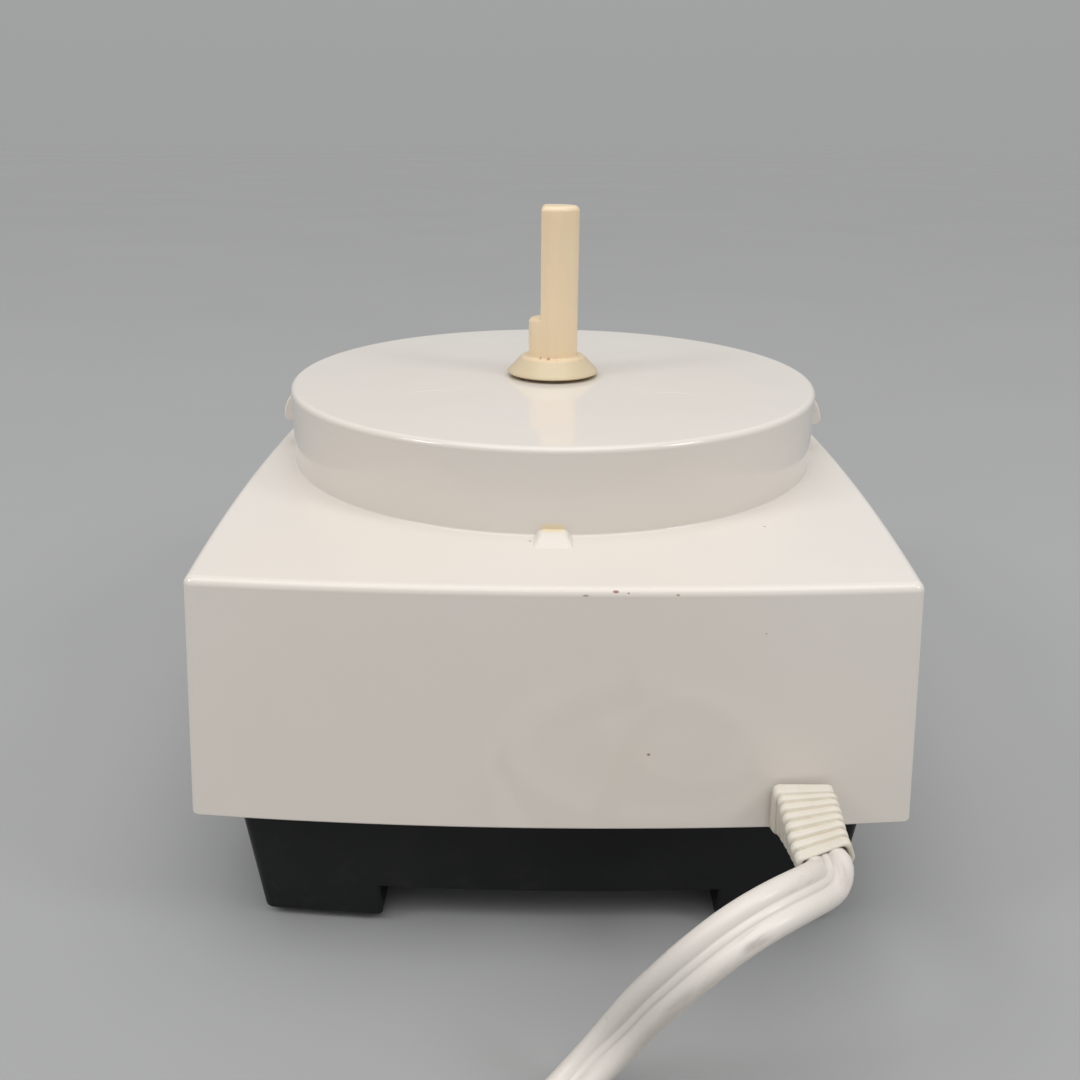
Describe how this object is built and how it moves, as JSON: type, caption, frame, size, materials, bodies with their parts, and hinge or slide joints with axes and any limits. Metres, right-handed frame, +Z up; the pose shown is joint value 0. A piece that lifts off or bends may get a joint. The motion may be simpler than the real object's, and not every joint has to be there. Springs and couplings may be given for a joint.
{
  "type": "food processor",
  "caption": "Food processor motor base: low housing with a round raised bowl seat, upright drive sheath, front levers, dark vented base and a flat supply cord.",
  "frame": {"origin": "on the table under the drive shaft, at the middle of the base without its cord", "axes": "+Z up along the drive shaft, -Y towards the front with the levers, +Y towards the back where the cord leaves, +X to the right seen from the front"},
  "size_m": [0.1971, 0.4109, 0.175],
  "materials": {
    "white_plastic": "polished injection-moulded shell, warm white",
    "charcoal_plastic": "satin moulded base",
    "cream_plastic": "satin cream moulding, slightly yellowed",
    "ivory_vinyl": "soft moulded vinyl, satin",
    "cord_vinyl": "extruded vinyl with light scuffs",
    "black_rubber": "moulded rubber",
    "steel": "plated or ground steel",
    "laminated_steel": "stacked steel laminations, lightly varnished",
    "cast_aluminium": "die-cast aluminium",
    "bronze": "sintered bronze",
    "copper": "enamelled copper wire",
    "brass": "stamped brass",
    "black_plastic": "moulded black plastic",
    "grey_plastic": "moulded grey plastic",
    "blue_plastic": "moulded relay case",
    "board": "bare phenolic board"
  },
  "bodies": {
    "base": {"base_pan": "charcoal_plastic", "base_screw_1": "steel", "base_screw_2": "steel", "base_screw_3": "steel", "base_screw_4": "steel", "bearing_lower": "bronze", "bearing_upper": "bronze", "board_screw_1": "steel", "board_screw_2": "steel", "bracket_screw_1": "steel", "bracket_screw_2": "steel", "capacitor_clip": "steel", "control_board": "board", "cord_coil": "cord_vinyl", "cord_tie": "black_plastic", "end_bell_lower": "cast_aluminium", "end_bell_upper": "cast_aluminium", "foot_pad_1": "black_rubber", "foot_pad_2": "black_rubber", "foot_pad_3": "black_rubber", "foot_pad_4": "black_rubber", "housing": "white_plastic", "interlock_spring": "steel", "interlock_switch": "black_plastic", "lever_pin": "steel", "motor_bolt_1": "steel", "motor_bolt_2": "steel", "motor_bolt_3": "steel", "motor_bolt_4": "steel", "on_switch": "black_plastic", "plug_blade_1": "brass", "plug_blade_2": "brass", "plug_body": "cord_vinyl", "plug_lead": "cord_vinyl", "power_cord": "cord_vinyl", "pulse_switch": "black_plastic", "relay": "blue_plastic", "start_capacitor": "grey_plastic", "stator_core": "laminated_steel", "strain_relief": "ivory_vinyl", "switch_bracket": "steel", "terminal_block": "grey_plastic", "winding_lower": "copper", "winding_upper": "copper"},
    "drive": {"rotor": "laminated_steel", "motor_shaft": "steel", "cooling_fan": "black_plastic", "shaft_slinger": "black_rubber", "drive_sheath": "cream_plastic"},
    "on_lever": {"on_lever": "white_plastic"},
    "pulse_lever": {"pulse_lever": "white_plastic"},
    "on_button": {"on_button": "grey_plastic"},
    "pulse_button": {"pulse_button": "grey_plastic"},
    "interlock_rod": {"interlock_rod": "white_plastic"}
  },
  "joints": [
    {"name": "drive_spin", "type": "hinge", "parent": "base", "child": "drive", "pos_m": [0, 0, 0.1247], "axis": [0, 0, 1], "continuous": true},
    {"name": "on_press", "type": "hinge", "parent": "base", "child": "on_lever", "pos_m": [0.021, -0.1045, 0.09], "axis": [1, 0, 0], "range_deg": [0, 6], "stiffness_Nm_per_rad": 0.3, "springref_deg": -3.44},
    {"name": "pulse_press", "type": "hinge", "parent": "base", "child": "pulse_lever", "pos_m": [-0.021, -0.1045, 0.09], "axis": [1, 0, 0], "range_deg": [0, 6], "stiffness_Nm_per_rad": 0.3, "springref_deg": -3.44},
    {"name": "on_switch_travel", "type": "slide", "parent": "base", "child": "on_button", "axis": [0, 1, 0], "range_m": [0, 0.0016]},
    {"name": "pulse_switch_travel", "type": "slide", "parent": "base", "child": "pulse_button", "axis": [0, 1, 0], "range_m": [0, 0.0016]},
    {"name": "interlock_press", "type": "slide", "parent": "base", "child": "interlock_rod", "axis": [0, 0, -1], "range_m": [0, 0.005], "stiffness_N_per_m": 300, "springref_m": -0.002, "deforming": ["interlock_spring"]}
  ],
  "couplings": [
    {"joint": "on_switch_travel", "follows": "on_press", "m_per_rad": 0.014},
    {"joint": "pulse_switch_travel", "follows": "pulse_press", "m_per_rad": 0.014}
  ]
}
